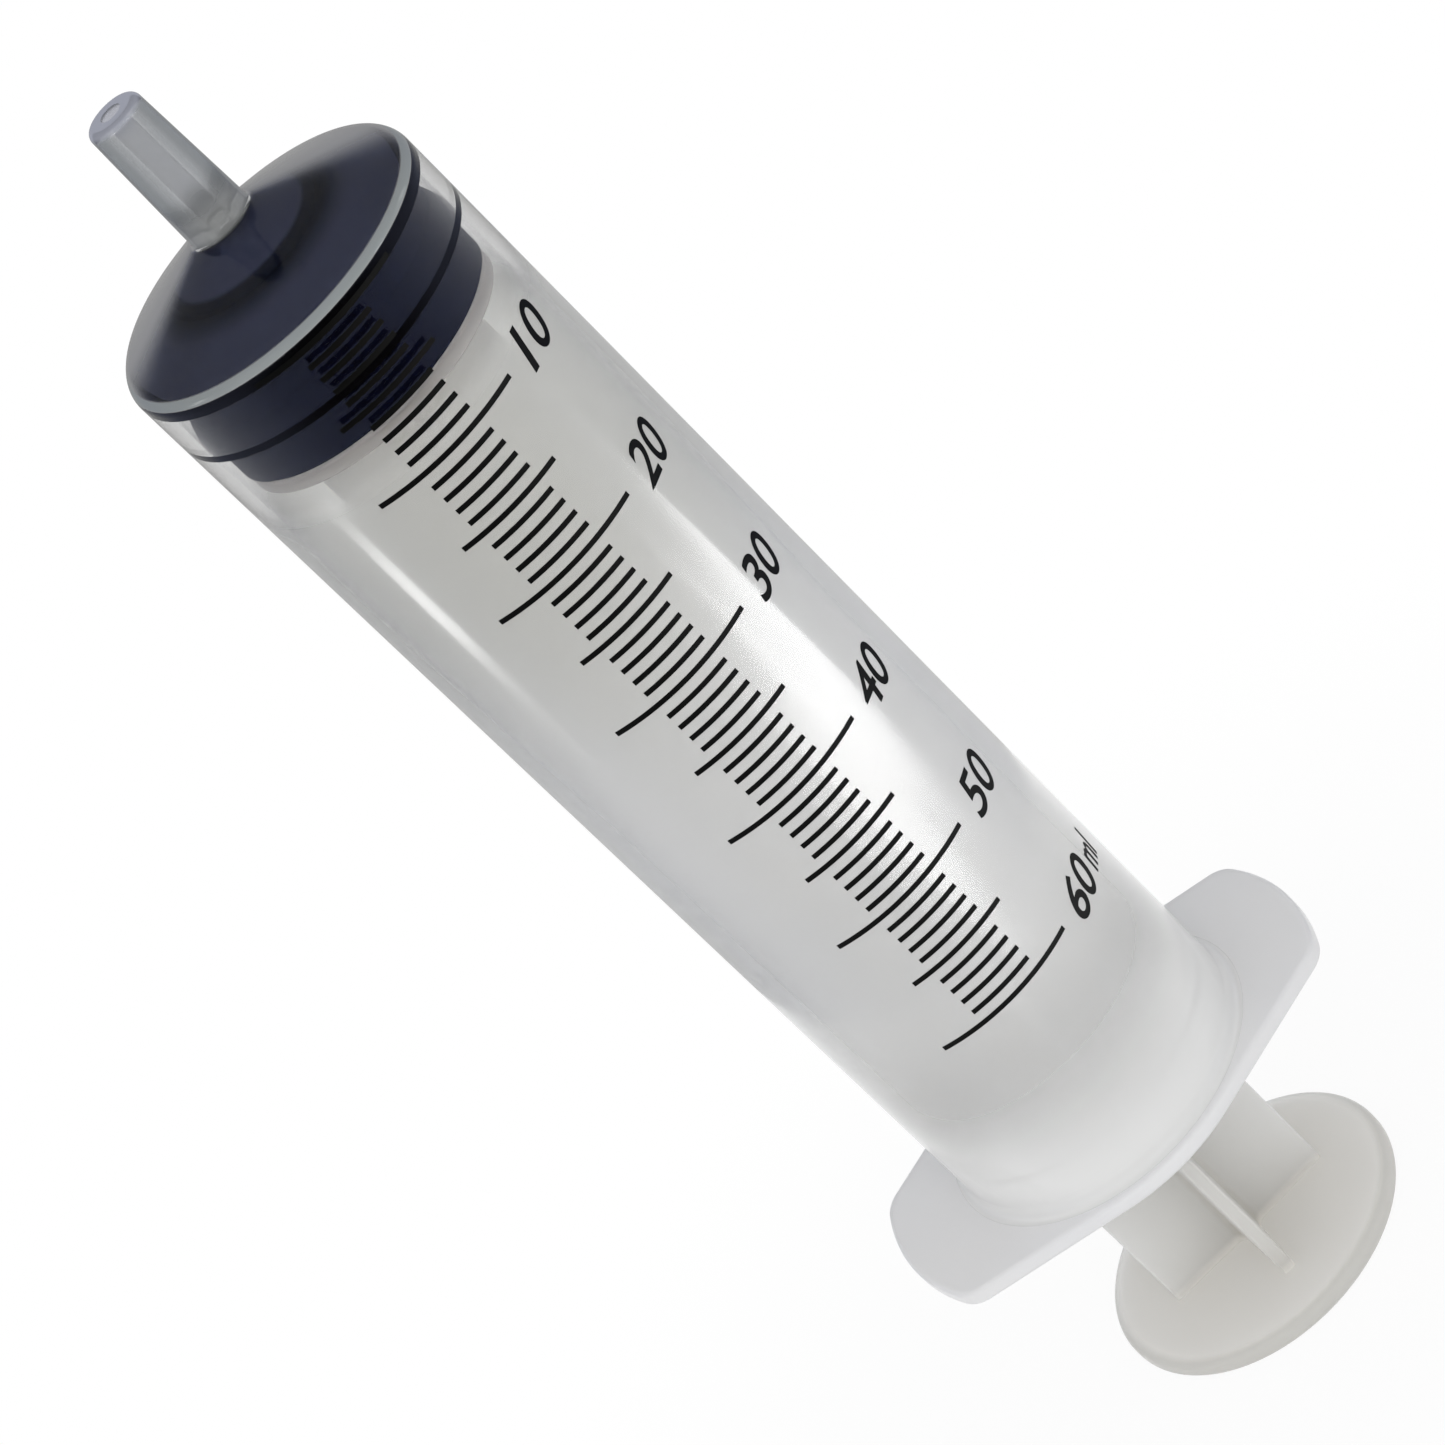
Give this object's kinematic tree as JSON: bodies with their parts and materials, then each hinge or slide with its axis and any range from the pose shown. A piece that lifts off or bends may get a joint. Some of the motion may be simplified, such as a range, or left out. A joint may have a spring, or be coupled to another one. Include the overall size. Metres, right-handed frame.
{
  "type": "hypodermic syringe",
  "caption": "Large plain-nozzle syringe: milky barrel with finger wings and a printed scale, dark rubber stopper and a cross-vaned plunger rod with a thumb disc that slides and turns.",
  "frame": {"origin": "centre of the underside of the thumb disc, which the syringe stands on with its plunger pushed home", "axes": "+Z along the bore towards the nozzle, X along the finger wings, printed scale facing -Y"},
  "size_m": [0.0492, 0.0346, 0.1612],
  "materials": {
    "barrel_pp": "milky see-through polypropylene, smooth and glossy",
    "stopper_rubber": "matt blue-black rubber with thin sealing ribs",
    "plunger_pp": "milky polypropylene, satin, slightly warm",
    "scale_ink": "black printed ink of the scale and its numbers"
  },
  "bodies": {
    "barrel": {"barrel": "barrel_pp"},
    "stopper": {"stopper": "stopper_rubber"},
    "plunger": {"plunger_rod": "plunger_pp"}
  },
  "joints": [
    {"name": "plunger_turn", "type": "hinge", "parent": "plunger", "child": "stopper", "pos_m": [0, 0, 0.133], "axis": [0, 0, 1], "continuous": true},
    {"name": "plunger_slide", "type": "slide", "parent": "stopper", "child": "barrel", "axis": [0, 0, 1], "range_m": [0, 0.1035]}
  ]
}
